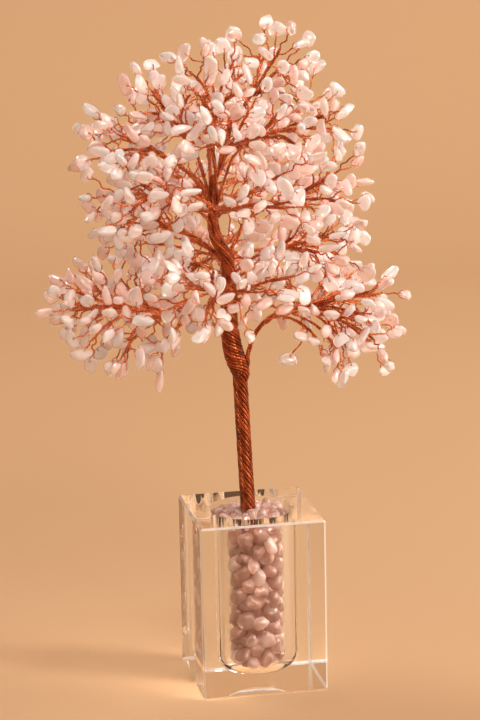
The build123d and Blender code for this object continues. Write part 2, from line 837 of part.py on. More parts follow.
os.makedirs("parts", exist_ok=True)
write("glass_block", make_block())
for band_name, band in zip(fill_band_names, make_fill(settle_fill())):
    write(band_name, Compound(band))
    print(band_name, len(band), "chips")
stem_core, stem_sleeve = make_stem()
write("stem_core", stem_core)
write("stem_sleeve", stem_sleeve)
trunk = make_trunk()
write("trunk", trunk)
boughs = plan_boughs(trunk)
grow(boughs)
for bough_name, bough in boughs.items():
    gap = bough["limb"].distance_to(trunk)
    write(f"{bough_name}_limb", bough["limb"])
    write(f"{bough_name}_twigs", Compound(bough["sprigs"] + bough["twigs"]))
    write(f"{bough_name}_chips", Compound(bough["chips"]))
    pivot, axis = np.round(bough["pivot"], 3).tolist(), np.round(bough["axis"], 5).tolist()
    print(bough_name, len(bough["sprigs"]), "sprigs", len(bough["chips"]), "chips", pivot, axis)
    print("  clear of the trunk by", round(gap, 3))
print("stem axis", np.round(stem_axis, 5).tolist(), "at the rim", stem_place(block_height).tolist())
print("chips on the crown", sum(len(bough["chips"]) for bough in boughs.values()))
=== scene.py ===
import json
import math
import random

import bpy
import numpy as np
from mathutils import Matrix, Vector


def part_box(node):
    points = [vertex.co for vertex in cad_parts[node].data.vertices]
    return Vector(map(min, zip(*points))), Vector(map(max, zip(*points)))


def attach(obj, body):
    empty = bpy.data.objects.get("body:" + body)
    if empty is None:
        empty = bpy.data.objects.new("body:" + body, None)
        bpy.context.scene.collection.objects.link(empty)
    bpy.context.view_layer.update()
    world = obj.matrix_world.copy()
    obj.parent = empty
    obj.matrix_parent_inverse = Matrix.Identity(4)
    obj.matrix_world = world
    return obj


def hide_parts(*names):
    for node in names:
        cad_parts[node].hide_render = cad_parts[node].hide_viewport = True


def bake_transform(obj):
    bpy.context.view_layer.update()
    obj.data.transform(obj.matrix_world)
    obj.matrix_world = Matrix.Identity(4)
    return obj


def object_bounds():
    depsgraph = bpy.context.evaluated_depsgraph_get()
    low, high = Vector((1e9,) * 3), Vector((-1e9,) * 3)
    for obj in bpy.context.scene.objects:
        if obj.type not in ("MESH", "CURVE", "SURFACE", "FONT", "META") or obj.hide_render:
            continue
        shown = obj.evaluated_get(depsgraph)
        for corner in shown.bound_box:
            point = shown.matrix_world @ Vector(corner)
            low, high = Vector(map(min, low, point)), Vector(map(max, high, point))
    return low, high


# A gemstone tree: tumbled quartz chips on twisted copper wire, planted in a crystal block.
# Metres, in the frame's axes: +Z up, origin under the middle of the block.

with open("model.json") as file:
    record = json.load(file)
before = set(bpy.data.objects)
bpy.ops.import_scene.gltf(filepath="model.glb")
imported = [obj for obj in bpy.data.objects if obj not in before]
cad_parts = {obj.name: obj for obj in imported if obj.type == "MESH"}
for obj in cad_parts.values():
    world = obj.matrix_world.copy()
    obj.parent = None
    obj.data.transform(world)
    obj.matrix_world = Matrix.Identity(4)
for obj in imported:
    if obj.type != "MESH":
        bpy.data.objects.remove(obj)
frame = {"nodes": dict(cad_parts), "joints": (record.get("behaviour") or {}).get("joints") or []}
cad_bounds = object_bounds()
nodes = frame["nodes"]
hinges = [joint for joint in frame["joints"] if joint["type"] == "hinge"]
boughs = [hinge["child"] for hinge in hinges]
pivots = {hinge["child"]: np.array(hinge["pos_m"]) for hinge in hinges}
box_low, box_high = (np.array(corner) for corner in cad_bounds)
weld = 1e-6
full_turn = 2 * math.pi
golden_turn = math.pi * (3 - math.sqrt(5))

# Camera, from the edges of the block in the photograph
camera_place = (-0.202001, -1.060054, 0.388332)
camera_yaw = 10.625
camera_pitch = 13.452
camera_roll = -1.169
focal_pixels = 2829.47
frame_pixels = 480
sensor_width = 36

# Wires, which are twisted in pairs
wire_sides = 5
wire_radius = 0.00019
wire_step = 0.00036
pair_pitch = 0.0021
twig_run_in = 0.0065
twig_off_sprig = 0.00062
twig_wander = 0.0007
twig_kink_length = 0.006
twig_stop = 0.0007
sprig_pairs = 2
sprig_spread = 0.00036
sprig_pitch = 0.008
sprig_run_in = 0.008
limb_step = 0.0008
limb_wire_share = 1.12
thin_limb = 0.0008
middle_limb = 0.00095
limb_spread_share = 0.62
limb_pitch = 0.014
limb_run_in = 0.012

# The wound trunk
trunk_strands = 12
trunk_wire = 0.00054
trunk_step = 0.0006
trunk_slices = 40
slice_margin = 0.0004

# Chips on the wires
chip_side = 6
chip_variants = 5
box_inset = 0.00005
hole_radius = 0.0005
hole_sides = 8
hole_inset = 0.0017
loop_wire = 0.00017
loop_step = 0.00042

# Block and its fill
bore_radius = 0.0165
bore_floor = 0.005
bore_floor_radius = 0.008
bore_wall_gap = 0.00012
bore_sides = 160
rim_bevel = 0.0005
block_bevel = 0.0008
fill_side = 6
fill_size_share = 1.22
fill_heap = 0.0016
heap_chips = 34
heap_reach = 0.0142
heap_chip = 0.0027
stem_gap = 0.0001


# Reading the frame
def loose_solids(name):
    """The separate solids of a CAD node, as (corner points, triangles) each."""
    mesh = nodes[name].data
    places = np.zeros(3 * len(mesh.vertices))
    mesh.vertices.foreach_get("co", places)
    mesh.calc_loop_triangles()
    faces = np.zeros(3 * len(mesh.loop_triangles), int)
    mesh.loop_triangles.foreach_get("vertices", faces)
    grid, same = np.unique(np.round(places.reshape(-1, 3) / weld), axis=0, return_inverse=True)
    points = grid * weld
    faces = same.ravel()[faces].reshape(-1, 3)
    label = np.arange(len(points))
    while True:
        lower = label.copy()
        lowest = label[faces].min(axis=1)
        for corner in range(3):
            np.minimum.at(lower, faces[:, corner], lowest)
        lower = lower[lower]
        if (lower == label).all():
            break
        label = lower
    solids = []
    for one in np.unique(label):
        chosen = np.flatnonzero(label == one)
        number = np.zeros(len(points), int)
        number[chosen] = np.arange(len(chosen))
        solids.append((points[chosen], number[faces[label[faces[:, 0]] == one]]))
    return solids


def unit(vector):
    return vector / np.linalg.norm(vector)


def middle_of(points):
    return (points.max(axis=0) + points.min(axis=0)) / 2


def face_normals(points, faces):
    """Twice the area of each triangle, as a vector along its normal."""
    first, second, third = (points[faces[:, corner]] for corner in range(3))
    return np.cross(second - first, third - first)


def centre_line(points, faces, far_from):
    """The middle of a swept round bar, from near this point to its far flat end."""
    tip = np.linalg.norm(points - far_from, axis=1).argmax()
    normals = face_normals(points, faces)[(faces == tip).any(axis=1)]
    seen = np.zeros(len(points), bool)
    for normal in normals:
        level = np.abs((points - points[tip]) @ unit(normal)) < 3 * weld
        if level.sum() > seen.sum():
            seen = level
    centres = [points[seen].mean(axis=0)]
    radius = np.linalg.norm(points[seen] - centres[0], axis=1).max()
    while not seen.all():
        touched = np.zeros(len(points), bool)
        touched[faces[seen[faces].any(axis=1)].ravel()] = True
        ring = touched & ~seen
        if not ring.any():
            break
        centres.append(points[ring].mean(axis=0))
        seen = seen | ring
    line = np.array(centres[::-1])
    keep = [0]
    for index in range(1, len(line)):
        if np.linalg.norm(line[index] - line[keep[-1]]) > radius / 2:
            keep.append(index)
    return line[keep], radius


def level_cuts(points, faces):
    """Middles of a standing solid cut level at even heights, and its half width across Y there."""
    edges = np.vstack([faces[:, [0, 1]], faces[:, [1, 2]], faces[:, [2, 0]]])
    low, high = points[edges[:, 0]], points[edges[:, 1]]
    bottom, top = points[:, 2].min() + slice_margin, points[:, 2].max() - slice_margin
    rows = []
    for height in np.linspace(bottom, top, trunk_slices):
        crossing = (low[:, 2] - height) * (high[:, 2] - height) < 0
        share = ((height - low[:, 2]) / np.where(crossing, high[:, 2] - low[:, 2], 1))[crossing]
        met = low[crossing] + (high - low)[crossing] * share[:, None]
        rows.append((*middle_of(met), np.ptp(met[:, 1]) / 2))
    return rows


# Lines
def distances_along(line):
    return np.concatenate([[0], np.cumsum(np.linalg.norm(np.diff(line, axis=0), axis=1))])


def at_distances(line, wanted):
    steps = distances_along(line)
    return np.column_stack([np.interp(wanted, steps, line[:, axis]) for axis in range(3)])


def smoothed(points, step):
    """Even points along a smooth curve through these points."""
    points = np.asarray(points, float)
    apart = np.linalg.norm(np.diff(points, axis=0), axis=1) > weld
    points = points[np.concatenate([[True], apart])]
    if len(points) > 2:
        before = np.vstack([2 * points[0] - points[1], points[:-1]])
        after = np.vstack([points[1:], 2 * points[-1] - points[-2]])
        spans = np.linalg.norm(np.diff(points, axis=0), axis=1)
        widths = np.concatenate([[2 * spans[0]], spans[:-1] + spans[1:], [2 * spans[-1]]])
        slopes = (after - before) / widths[:, None]
        t = np.linspace(0, 1, 9)[:-1, None]
        dense = []
        for index, span in enumerate(spans):
            dense.append(
                (2 * t ** 3 - 3 * t ** 2 + 1) * points[index]
                + (t ** 3 - 2 * t ** 2 + t) * span * slopes[index]
                + (3 * t ** 2 - 2 * t ** 3) * points[index + 1]
                + (t ** 3 - t ** 2) * span * slopes[index + 1]
            )
        points = np.vstack(dense + [points[-1:]])
    length = distances_along(points)[-1]
    return at_distances(points, np.linspace(0, length, max(int(math.ceil(length / step)), 2) + 1))


def carried_frames(line):
    """Two square sides at each point of a line, turned as little as possible."""
    ahead = np.gradient(line, axis=0)
    ahead /= np.linalg.norm(ahead, axis=1)[:, None]
    side = np.cross(ahead[0], (0.31, 0.17, 0.93))
    if np.linalg.norm(side) < 0.2:
        side = np.cross(ahead[0], (0.93, 0.31, 0.17))
    sides = [unit(side)]
    for direction in ahead[1:]:
        sides.append(unit(sides[-1] - direction * (sides[-1] @ direction)))
    sides = np.array(sides)
    return sides, np.cross(ahead, sides)


def laid_lines(line, count, offset, pitch, phase):
    """Lines that wind round a line together. offset is one value or one per point."""
    side, other = carried_frames(line)
    steps = distances_along(line)
    offsets = np.broadcast_to(offset, len(line))[:, None]
    lines = []
    for number in range(count):
        angle = (phase + full_turn * (number / count - steps / pitch))[:, None]
        lines.append(line + offsets * (side * np.cos(angle) + other * np.sin(angle)))
    return lines


# Meshes
class Pile:
    """Mesh parts gathered into one piece, each with a tint."""

    def __init__(self):
        self.points = []
        self.corners = []
        self.sizes = []
        self.tints = []
        self.count = 0

    def add(self, points, faces, tint=0.5):
        for block in faces:
            self.corners.append((block + self.count).ravel())
            self.sizes.append(np.full(len(block), block.shape[1]))
        self.points.append(points)
        self.tints.append(np.full(len(points), tint))
        self.count += len(points)

    def make(self, name, material, slot, *replaced):
        """The piece, with smooth faces, in place of its CAD nodes."""
        corners = np.concatenate(self.corners)
        sizes = np.concatenate(self.sizes)
        starts = np.concatenate([[0], np.cumsum(sizes)[:-1]])
        mesh = bpy.data.meshes.new(name)
        mesh.vertices.add(self.count)
        mesh.vertices.foreach_set("co", np.vstack(self.points).ravel().astype(np.float32))
        mesh.loops.add(len(corners))
        mesh.loops.foreach_set("vertex_index", corners.astype(np.int32))
        mesh.polygons.add(len(sizes))
        mesh.polygons.foreach_set("loop_start", starts.astype(np.int32))
        mesh.polygons.foreach_set("use_smooth", np.ones(len(sizes), bool))
        mesh.update(calc_edges=True)
        tint = mesh.attributes.new("tint", "FLOAT", "POINT")
        tint.data.foreach_set("value", np.concatenate(self.tints).astype(np.float32))
        mesh.materials.append(material)
        piece = bpy.data.objects.new(name, mesh)
        bpy.context.scene.collection.objects.link(piece)
        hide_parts(*replaced)
        return piece


def add_wire(pile, line, radius, sides=wire_sides, tint=0.5):
    """A round wire along a line, closed at both ends. radius is one value or one per point."""
    side, other = carried_frames(line)
    radii = np.broadcast_to(radius, len(line))
    angles = (np.arange(sides) * full_turn / sides)[:, None]
    ring = side[:, None] * np.cos(angles) + other[:, None] * np.sin(angles)
    points = line[:, None] + ring * radii[:, None, None]
    rows, around = np.meshgrid(np.arange(len(line) - 1), np.arange(sides), indexing="ij")
    after = (around + 1) % sides
    walls = np.stack([
        rows * sides + around, rows * sides + after,
        (rows + 1) * sides + after, (rows + 1) * sides + around,
    ], axis=-1).reshape(-1, 4)
    first_cap = np.arange(sides)[::-1][None]
    last_cap = ((len(line) - 1) * sides + np.arange(sides))[None]
    pile.add(points.reshape(-1, 3), [walls, first_cap, last_cap], tint)


def add_pair(pile, line, draw, wire=wire_radius):
    """Two wires twisted together along a line."""
    tint = draw.random()
    pitch = pair_pitch * draw.uniform(0.88, 1.15)
    for strand in laid_lines(line, 2, wire * 1.05, pitch, draw.uniform(0, full_turn)):
        add_wire(pile, strand, wire, wire_sides, tint)


def add_cable(pile, line, pairs, spread, pitch, draw, wire=wire_radius):
    """Twisted pairs laid loosely round a line."""
    steps = distances_along(line)
    for lane in laid_lines(line, pairs, spread, pitch, draw.uniform(0, full_turn)):
        wave = np.array([draw.gauss(0, 1) for _ in range(3)])
        sway = np.sin(steps * draw.uniform(500, 900) + draw.uniform(0, full_turn))
        add_pair(pile, lane + unit(wave) * (wire * 0.5 * sway)[:, None], draw, wire)


# Materials
quartz_index = 1.54
glass_index = 1.42
cloud_scale = 330
vein_scale = 1100
patch_scale = 220
grain_scale = 3000


def new_material(name):
    material = bpy.data.materials.new(name)
    material.use_nodes = True
    tree = material.node_tree
    tree.nodes.clear()
    output = tree.nodes.new("ShaderNodeOutputMaterial")
    shader = tree.nodes.new("ShaderNodeBsdfPrincipled")
    tree.links.new(shader.outputs[0], output.inputs[0])
    return material, tree, shader


def add_noise(tree, scale, detail=3.0, roughness=0.5):
    where = tree.nodes.new("ShaderNodeTexCoord")
    noise = tree.nodes.new("ShaderNodeTexNoise")
    noise.inputs["Scale"].default_value = scale
    noise.inputs["Detail"].default_value = detail
    noise.inputs["Roughness"].default_value = roughness
    tree.links.new(where.outputs["Object"], noise.inputs["Vector"])
    return noise.outputs["Fac"]


def add_ramp(tree, value, stops):
    ramp = tree.nodes.new("ShaderNodeValToRGB")
    elements = ramp.color_ramp.elements
    while len(elements) < len(stops):
        elements.new(0.5)
    for element, (place, colour) in zip(elements, stops):
        element.position = place
        element.color = (*colour, 1)
    tree.links.new(value, ramp.inputs[0])
    return ramp.outputs[0]


def add_range(tree, value, low, high):
    spread = tree.nodes.new("ShaderNodeMapRange")
    spread.inputs["To Min"].default_value = low
    spread.inputs["To Max"].default_value = high
    tree.links.new(value, spread.inputs["Value"])
    return spread.outputs[0]


def add_bump(tree, shader, height, strength, distance):
    bump = tree.nodes.new("ShaderNodeBump")
    bump.inputs["Strength"].default_value = strength
    bump.inputs["Distance"].default_value = distance
    tree.links.new(height, bump.inputs["Height"])
    tree.links.new(bump.outputs[0], shader.inputs["Normal"])


def add_tint(tree, value, share):
    """The value moved up or down by the part's own tint."""
    tint = tree.nodes.new("ShaderNodeAttribute")
    tint.attribute_name = "tint"
    mix = tree.nodes.new("ShaderNodeMath")
    mix.operation = "ADD"
    tree.links.new(add_range(tree, value, 0, 1 - share), mix.inputs[0])
    tree.links.new(add_range(tree, tint.outputs["Fac"], 0, share), mix.inputs[1])
    return mix.outputs[0]


def mix_in_clear(tree, shader, where, colour):
    """The surface is clear, tinted by this colour, where this value is 1."""
    clear = tree.nodes.new("ShaderNodeBsdfTransparent")
    clear.inputs[0].default_value = (*colour, 1)
    mix = tree.nodes.new("ShaderNodeMixShader")
    output = next(node for node in tree.nodes if node.type == "OUTPUT_MATERIAL")
    tree.links.new(where, mix.inputs[0])
    tree.links.new(shader.outputs[0], mix.inputs[1])
    tree.links.new(clear.outputs[0], mix.inputs[2])
    tree.links.new(mix.outputs[0], output.inputs[0])


def let_lamps_through(tree, shader, colour):
    """Lamps reach what is behind the surface, tinted by this colour."""
    path = tree.nodes.new("ShaderNodeLightPath")
    mix_in_clear(tree, shader, path.outputs["Is Shadow Ray"], colour)


def make_quartz(name, pale, body, deep):
    """Tumbled rose quartz: milky clouds and veins, each chip in its own tint."""
    material, tree, shader = new_material(name)
    clouds = add_noise(tree, cloud_scale, 5.0, 0.6)
    veins = add_noise(tree, vein_scale, 2.0, 0.6)
    colour = add_ramp(tree, add_tint(tree, clouds, 0.5), [(0.3, deep), (0.48, body), (0.68, pale)])
    tree.links.new(colour, shader.inputs["Base Color"])
    tree.links.new(add_range(tree, veins, 0.1, 0.3), shader.inputs["Roughness"])
    add_bump(tree, shader, veins, 0.2, 0.0003)
    shader.inputs["IOR"].default_value = quartz_index
    shader.inputs["Subsurface Weight"].default_value = 0.85
    shader.inputs["Subsurface Radius"].default_value = (1.0, 0.7, 0.6)
    shader.inputs["Subsurface Scale"].default_value = 0.004
    shader.inputs["Transmission Weight"].default_value = 0.58
    shader.inputs["Coat Weight"].default_value = 0.8
    shader.inputs["Coat Roughness"].default_value = 0.06
    let_lamps_through(tree, shader, (0.85, 0.76, 0.72))
    return material


def make_copper(name, dark, body, bright, rough):
    """Enamelled copper wire, a little uneven in colour and in polish."""
    material, tree, shader = new_material(name)
    patches = add_noise(tree, patch_scale, 4.0, 0.6)
    grain = add_noise(tree, grain_scale, 2.0)
    colour = add_ramp(tree, add_tint(tree, patches, 0.3), [(0.3, dark), (0.5, body), (0.72, bright)])
    tree.links.new(colour, shader.inputs["Base Color"])
    tree.links.new(add_range(tree, grain, rough - 0.08, rough + 0.1), shader.inputs["Roughness"])
    add_bump(tree, shader, grain, 0.15, 0.00005)
    shader.inputs["Metallic"].default_value = 1.0
    shader.inputs["Coat Weight"].default_value = 0.4
    shader.inputs["Coat Roughness"].default_value = 0.12
    return material


def make_crystal():
    """Clear polished glass that lets the lamps through to what it holds. Its bevel faces are painted
    partly white, as a painted highlight along the edges.
    """
    material, tree, shader = new_material("crystal")
    tree.links.new(add_range(tree, add_noise(tree, 120, 4.0), 0.0, 0.012), shader.inputs["Roughness"])
    add_bump(tree, shader, add_noise(tree, 45, 1.0), 0.03, 0.0005)
    shader.inputs["Base Color"].default_value = (0.99, 0.995, 0.99, 1)
    # Painted highlight: on the flagged bevel faces the glass is less clear and shows its near-white base
    # colour as bright edge lines.
    painted_edge_glint = tree.nodes.new("ShaderNodeAttribute")
    painted_edge_glint.attribute_name = "painted_edge_glint"
    clearness = add_range(tree, painted_edge_glint.outputs["Fac"], 1.0, 0.6)
    tree.links.new(clearness, shader.inputs["Transmission Weight"])
    shader.inputs["IOR"].default_value = glass_index
    let_lamps_through(tree, shader, (0.97, 0.97, 0.965))
    return material


quartz = make_quartz("rose_quartz", (1.0, 0.955, 0.94), (1.0, 0.86, 0.82), (0.99, 0.72, 0.665))
# Painted shade: the fill is the same rose quartz as the crown's chips, painted much darker as the shade
# inside the bore.
shaded_fill_quartz = make_quartz("shaded_fill_quartz", (0.86, 0.66, 0.60), (0.54, 0.33, 0.26), (0.44, 0.24, 0.18))
# Painted shade: the trunk is wound from the same copper wire as the twigs, given darker tones as painted
# shade on the trunk.
shaded_trunk_tones = (0.18, 0.03, 0.007), (0.40, 0.08, 0.018), (0.70, 0.18, 0.048)
wire_tones = (0.36, 0.075, 0.02), (0.64, 0.16, 0.048), (0.86, 0.29, 0.105)
shaded_trunk_copper = make_copper("shaded_wound_copper", *shaded_trunk_tones, 0.26)
wire_copper = make_copper("twisted_copper", *wire_tones, 0.26)
crystal = make_crystal()


# Stones
def ball_mesh(side):
    """A cube's grid of quads blown up to a unit ball."""
    grid = np.tan(np.linspace(-1, 1, side + 1) * math.pi / 4)
    points, faces = [], []
    a, b = np.meshgrid(np.arange(side), np.arange(side), indexing="ij")
    u, v = np.meshgrid(grid, grid, indexing="ij")
    for axis in range(3):
        for sign in (-1, 1):
            corner = len(points) * (side + 1) ** 2 + a * (side + 1) + b
            cube = np.zeros((u.size, 3))
            cube[:, axis] = sign
            cube[:, (axis + 1) % 3] = u.ravel()
            cube[:, (axis + 2) % 3] = v.ravel()
            points.append(cube)
            quad = np.stack([corner, corner + side + 1, corner + side + 2, corner + 1], axis=-1)
            quad = quad.reshape(-1, 4)
            faces.append(quad if sign > 0 else quad[:, ::-1])
    points = np.vstack(points)
    points /= np.linalg.norm(points, axis=1)[:, None]
    _, index, same = np.unique(np.round(points, 6), axis=0, return_index=True, return_inverse=True)
    return points[index], same.ravel()[np.vstack(faces)]


def stone_shape(ball, draw, half, power=2.6):
    """A tumbled chip, lobed, tapered and worn flat in places, half as long, wide and thick as told."""
    directions, faces = ball
    points = directions * ((np.abs(directions) ** power).sum(axis=1) ** (-1 / power))[:, None]
    angle = np.arctan2(points[:, 1], points[:, 0])
    lobes = 1 + draw.uniform(0.02, 0.12) * np.cos(3 * angle + draw.uniform(0, full_turn))
    lobes += draw.uniform(0, 0.05) * np.cos(4 * angle + draw.uniform(0, full_turn))
    points[:, :2] *= lobes[:, None]
    points[:, 1] *= 1 + draw.uniform(-0.3, 0.3) * points[:, 0]
    thinning = draw.uniform(-0.3, 0.3) * points[:, 0] + draw.uniform(-0.2, 0.2) * points[:, 1]
    points[:, 2] *= 1 + thinning
    points[:, 2] += draw.uniform(-0.14, 0.14) * points[:, 0] ** 2
    for _ in range(7):
        normal = unit(np.array([draw.gauss(0, 1) for _ in range(3)]))
        over = np.maximum(points @ normal - draw.uniform(0.72, 0.95), 0)
        points -= 0.9 * over[:, None] * normal
    edges = np.vstack([faces[:, [corner, (corner + 1) % 4]] for corner in range(4)])
    for _ in range(2):
        total = np.zeros_like(points)
        number = np.zeros(len(points))
        np.add.at(total, edges[:, 0], points[edges[:, 1]])
        np.add.at(number, edges[:, 0], 1)
        points = 0.5 * points + 0.5 * total / number[:, None]
    return (points - middle_of(points)) / (np.ptp(points, axis=0) / 2) * half


def new_mesh_object(name, points, faces):
    mesh = bpy.data.meshes.new(name)
    mesh.from_pydata(points.tolist(), [], [list(face) for face in faces])
    made = bpy.data.objects.new(name, mesh)
    bpy.context.scene.collection.objects.link(made)
    return made


def cut(body, tool):
    """The mesh of body less tool. Both objects are used up."""
    modifier = body.modifiers.new("cut", "BOOLEAN")
    modifier.operation = "DIFFERENCE"
    modifier.solver = "EXACT"
    modifier.object = tool
    bpy.context.view_layer.update()
    whole = bpy.data.meshes.new_from_object(body.evaluated_get(bpy.context.evaluated_depsgraph_get()))
    for used in (body, tool):
        mesh = used.data
        bpy.data.objects.remove(used)
        bpy.data.meshes.remove(mesh)
    return whole


def drilled(points, faces, place):
    """A stone with a drilled hole through its flats at this place, as points and blocks of faces."""
    depth = np.abs(points[:, 2]).max() * 1.5
    angles = np.arange(hole_sides) * full_turn / hole_sides
    circle = np.column_stack([np.cos(angles), np.sin(angles)]) * hole_radius + place[:2]
    low = np.column_stack([circle, np.full(hole_sides, -depth)])
    high = np.column_stack([circle, np.full(hole_sides, depth)])
    drill_faces = [tuple(range(hole_sides))[::-1], tuple(range(hole_sides, 2 * hole_sides))]
    for step in range(hole_sides):
        after = (step + 1) % hole_sides
        drill_faces.append((step, after, hole_sides + after, hole_sides + step))
    drill = new_mesh_object("drill", np.vstack([low, high]), drill_faces)
    mesh = cut(new_mesh_object("stone", points, faces), drill)
    blocks = {}
    for face in mesh.polygons:
        blocks.setdefault(len(face.vertices), []).append(list(face.vertices))
    shape = np.array([vertex.co for vertex in mesh.vertices])
    return shape, [np.array(block) for block in blocks.values()]


class ChipForm:
    """The drilled stones that stand for one CAD chip form. X runs along the twig towards the tip."""

    def __init__(self, lean, half, number):
        self.half = half
        turn = np.array([
            [math.cos(lean), -math.sin(lean), 0], [math.sin(lean), math.cos(lean), 0], [0, 0, 1],
        ])
        self.edge = -1 / math.hypot(math.cos(lean) / half[0], math.sin(lean) / half[1])
        self.hole = self.edge + hole_inset
        self.stones = []
        for variant in range(chip_variants):
            draw = random.Random(100 * number + variant)
            size = half * [draw.uniform(0.9, 1.06), draw.uniform(1.02, 1.22), draw.uniform(0.85, 1.05)]
            near = -1 / math.hypot(math.cos(lean) / size[0], math.sin(lean) / size[1])
            points = stone_shape(ball, draw, size) @ turn.T + [self.edge - near, 0, 0]
            self.stones.append(drilled(points, ball[1], np.array([self.hole, 0, 0])))

    def loop(self):
        """The wire's way from the twig over one flat, through the hole and back under the other."""
        x, edge, thick = self.hole, self.edge, self.half[2]
        flat = thick * 0.9 + loop_wire
        upper = [
            (edge - twig_stop * 2, 0, loop_wire / 2), (edge - twig_stop, 0, loop_wire),
            (edge - loop_wire, 0, thick * 0.6), ((x + edge) / 2, 0, flat * 0.97),
            (x - loop_wire, 0, flat), (x, 0, thick * 0.5),
        ]
        under = [(px, py, -pz) for px, py, pz in upper[::-1]]
        return smoothed(upper + [(x, 0, 0)] + under, loop_step)


def chip_frame(points, faces, toward):
    """Centre, axes and half sizes of a CAD chip, and the lean of its length from the twig."""
    normals = face_normals(points, faces)
    keys = np.round(normals / (np.linalg.norm(normals, axis=1)[:, None] + 1e-12), 2)
    _, group = np.unique(keys, axis=0, return_inverse=True)
    areas = np.bincount(group.ravel(), weights=np.linalg.norm(normals, axis=1))
    flat = unit(normals[group.ravel() == areas.argmax()].sum(axis=0))
    along = unit(toward - flat * (toward @ flat))
    across = np.cross(flat, along)
    level = np.column_stack([points @ along, points @ across])
    angles = np.radians(np.arange(-90, 90, 5))
    spans = [np.ptp(level @ np.array([math.cos(a), math.sin(a)])) for a in angles]
    lean = float(angles[int(np.argmax(spans))])
    if lean < 0:
        flat, across, lean = -flat, -across, -lean
        level[:, 1] *= -1
    long_dir = np.array([math.cos(lean), math.sin(lean)])
    wide_dir = np.array([-long_dir[1], long_dir[0]])
    spans = np.array([np.ptp(level @ long_dir), np.ptp(level @ wide_dir), np.ptp(points @ flat)])
    axes = np.array([along, across, flat])
    return middle_of(points @ axes.T) @ axes, axes, spans / 2, lean


chip_forms = {}
ball = ball_mesh(chip_side)


def chip_form(lean, half):
    key = (round(math.degrees(lean) / 10), *(round(size * 1e4) for size in half))
    if key not in chip_forms:
        chip_forms[key] = ChipForm(lean, half, len(chip_forms))
    return chip_forms[key]


# The crown
def bar_ends(points):
    """Middles of a straight bar's two ends, or None if the bar has corners between them."""
    axis = np.linalg.svd(points - points.mean(axis=0), full_matrices=False)[2][0]
    reach = points @ axis
    middle = (reach.max() + reach.min()) / 2
    if (np.abs(reach - middle) < 0.3 * np.ptp(reach)).any():
        return None
    return points[reach < middle].mean(axis=0), points[reach > middle].mean(axis=0)


def run_in(line, spot, length, gap):
    """Points that lead along a line up to near this spot, a little off the line."""
    near = int(np.linalg.norm(line - spot, axis=1).argmin())
    reached = distances_along(line)[near]
    outward = unit(spot - line[near])
    places = []
    for share, off in ((1.0, 0.55), (0.62, 0.85), (0.25, 1.0)):
        if reached > share * length:
            place = at_distances(line, [reached - share * length])[0]
            places.append(place + outward * gap * off)
    return places


def make_bough(name):
    """Wires and chips of one bough, in place of its CAD twigs and chips, laid along its CAD limb."""
    wires, stones = Pile(), Pile()
    draw = random.Random(name)
    limb, limb_radius = centre_line(*loose_solids(f"{name}_limb")[0], pivots[name])
    limb = smoothed(limb, limb_step)
    sprigs, twigs = [], []
    for points, faces in loose_solids(f"{name}_twigs"):
        ends = bar_ends(points)
        if ends:
            twigs.append(ends)
        else:
            gaps = np.linalg.norm(limb[:, None] - points[None, ::7], axis=2).min(axis=1)
            sprigs.append(centre_line(points, faces, limb[gaps.argmin()])[0])

    sprig_lines = []
    for points in sprigs:
        lead = run_in(limb, points[0], sprig_run_in, limb_radius)
        line = smoothed(lead + list(points), wire_step)
        spread = sprig_spread * np.linspace(1.15, 0.7, len(line))
        add_cable(wires, line, sprig_pairs, spread, sprig_pitch, draw)
        sprig_lines.append(line)

    chips = loose_solids(f"{name}_chips")
    centres = np.array([middle_of(points) for points, _ in chips])
    for low, high in twigs:
        away = [np.linalg.norm(centres - end, axis=1).min() for end in (low, high)]
        start, tip = (low, high) if away[1] < away[0] else (high, low)
        points, faces = chips[int(np.linalg.norm(centres - tip, axis=1).argmin())]
        centre, axes, half, lean = chip_frame(points, faces, unit(tip - start))
        form = chip_form(lean, half)
        shape, blocks = form.stones[draw.randrange(chip_variants)]
        shape = np.clip(shape @ axes + centre, box_low + box_inset, box_high - box_inset)
        stones.add(shape, blocks, min(max(draw.gauss(0.5, 0.26), 0), 1))
        add_wire(wires, form.loop() @ axes + centre, loop_wire, wire_sides, draw.random())

        end = centre + axes[0] * (form.edge - twig_stop)
        owner = min(sprig_lines, key=lambda line: np.linalg.norm(line - start, axis=1).min())
        sway = twig_wander * np.linalg.norm(end - start) / twig_kink_length
        bends = []
        for share in (0.28, 0.52, 0.78):
            push = axes[1] * draw.uniform(-sway, sway) + axes[2] * draw.uniform(-sway, sway)
            bends.append(start + (end - start) * share + push)
        lead = run_in(owner, start, twig_run_in, twig_off_sprig)
        add_pair(wires, smoothed(lead + [start] + bends + [end], wire_step), draw)

    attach(wires.make(f"{name}_wires", wire_copper, "copper", f"{name}_twigs"), name)
    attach(stones.make(f"{name}_stones", quartz, "quartz", f"{name}_chips"), name)
    return limb, limb_radius, draw


